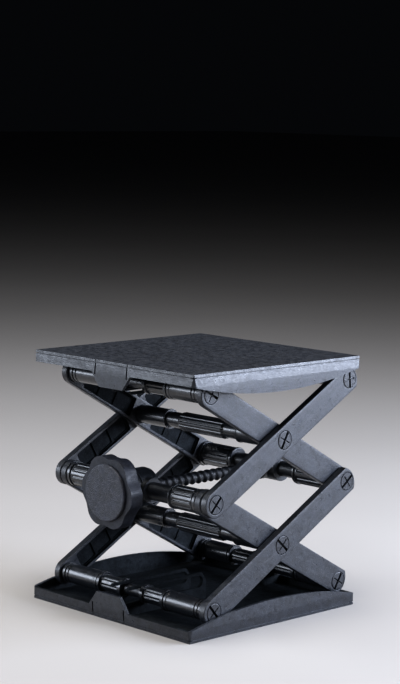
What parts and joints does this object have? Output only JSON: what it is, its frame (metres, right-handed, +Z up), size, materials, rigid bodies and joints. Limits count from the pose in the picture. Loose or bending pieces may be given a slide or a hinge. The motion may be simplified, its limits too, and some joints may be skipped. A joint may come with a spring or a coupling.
{
  "type": "lab jack",
  "caption": "Two-stage scissor lab jack in black plastic with square dished trays, slotted hinge pins and a lobed knob on a cross screw.",
  "frame": {"origin": "centre of the base tray's underside", "axes": "+Z up through the platform, +Y from the knob to the rear, +X to the right seen from the knob"},
  "size_m": [0.16, 0.1915, 0.1756],
  "materials": {
    "tray_plastic": "satin, faintly mottled",
    "arm_plastic": "satin, faintly mottled",
    "spacer_plastic": "semi-gloss",
    "rod_plastic": "satin",
    "pin_plastic": "satin",
    "block_plastic": "satin",
    "screw_plastic": "satin",
    "knob_plastic": "satin",
    "knob_face": "finely textured",
    "steel": "turned"
  },
  "bodies": {
    "base": {"base_tray": "tray_plastic", "base_rear_axle": "rod_plastic", "base_rear_spacer_left": "spacer_plastic", "base_rear_spacer_right": "spacer_plastic", "base_rear_pins": "pin_plastic"},
    "lower_inner": {"lower_inner_arm_left": "arm_plastic", "lower_inner_arm_right": "arm_plastic", "lower_cross_tube": "spacer_plastic", "lower_cross_pins": "pin_plastic"},
    "lower_outer": {"lower_outer_arm_left": "arm_plastic", "lower_outer_arm_right": "arm_plastic", "base_front_axle": "rod_plastic", "base_front_spacer_left": "spacer_plastic", "base_front_spacer_right": "spacer_plastic", "base_front_pins": "pin_plastic"},
    "upper_outer": {"upper_outer_arm_left": "arm_plastic", "upper_outer_arm_right": "arm_plastic", "upper_cross_tube": "spacer_plastic", "upper_cross_pins": "pin_plastic"},
    "upper_inner": {"upper_inner_arm_left": "arm_plastic", "upper_inner_arm_right": "arm_plastic", "top_front_axle": "rod_plastic", "top_front_spacer_left": "spacer_plastic", "top_front_spacer_right": "spacer_plastic", "top_front_pins": "pin_plastic"},
    "platform": {"platform_tray": "tray_plastic", "top_rear_axle": "rod_plastic", "top_rear_spacer_left": "spacer_plastic", "top_rear_spacer_right": "spacer_plastic", "top_rear_pins": "pin_plastic"},
    "trunnion": {"front_trunnion": "block_plastic", "mid_front_spacer_left": "spacer_plastic", "mid_front_spacer_right": "spacer_plastic", "mid_front_pins": "pin_plastic"},
    "nut": {"rear_nut_block": "block_plastic", "mid_rear_spacer_left": "spacer_plastic", "mid_rear_spacer_right": "spacer_plastic", "mid_rear_pins": "pin_plastic"},
    "screw": {"screw_spindle": "screw_plastic", "knob": "knob_plastic", "knob_cap": "knob_face", "knob_cross_pin": "steel", "thrust_washer": "steel", "screw_end_stop": "screw_plastic"}
  },
  "joints": [
    {"name": "lift", "type": "hinge", "parent": "base", "child": "lower_inner", "pos_m": [0, 0.0728, 0.016], "axis": [-1, 0, 0], "range_deg": [-18.9, 28.5]},
    {"name": "lower_crossing", "type": "hinge", "parent": "lower_inner", "child": "lower_outer", "pos_m": [0, 0.00923, 0.05189], "axis": [1, 0, 0], "range_deg": [-38, 57.2]},
    {"name": "middle_front", "type": "hinge", "parent": "lower_inner", "child": "upper_outer", "pos_m": [0, -0.05434, 0.08778], "axis": [1, 0, 0], "range_deg": [-38, 57.2]},
    {"name": "upper_crossing", "type": "hinge", "parent": "upper_outer", "child": "upper_inner", "pos_m": [0, 0.00923, 0.12367], "axis": [-1, 0, 0], "range_deg": [-38, 57.2]},
    {"name": "platform_rear", "type": "hinge", "parent": "upper_outer", "child": "platform", "pos_m": [0, 0.0728, 0.15957], "axis": [-1, 0, 0], "range_deg": [-19, 28.6]},
    {"name": "trunnion_turn", "type": "hinge", "parent": "lower_inner", "child": "trunnion", "pos_m": [0, -0.05434, 0.08778], "axis": [1, 0, 0], "range_deg": [-19, 28.6]},
    {"name": "nut_turn", "type": "hinge", "parent": "lower_outer", "child": "nut", "pos_m": [0, 0.0728, 0.08778], "axis": [-1, 0, 0], "range_deg": [-19, 28.6]},
    {"name": "knob_turn", "type": "hinge", "parent": "trunnion", "child": "screw", "pos_m": [0, -0.05434, 0.08778], "axis": [0, 1, 0], "range_deg": [-1582, 2385]}
  ],
  "couplings": [
    {"joint": "lower_crossing", "follows": "lift", "ratio": 2},
    {"joint": "middle_front", "follows": "lift", "ratio": 2},
    {"joint": "upper_crossing", "follows": "lift", "ratio": 2},
    {"joint": "platform_rear", "follows": "lift", "ratio": 1},
    {"joint": "trunnion_turn", "follows": "lift", "ratio": 1},
    {"joint": "nut_turn", "follows": "lift", "ratio": 1},
    {"joint": "knob_turn", "follows": "lift", "ratio": 83.6}
  ]
}
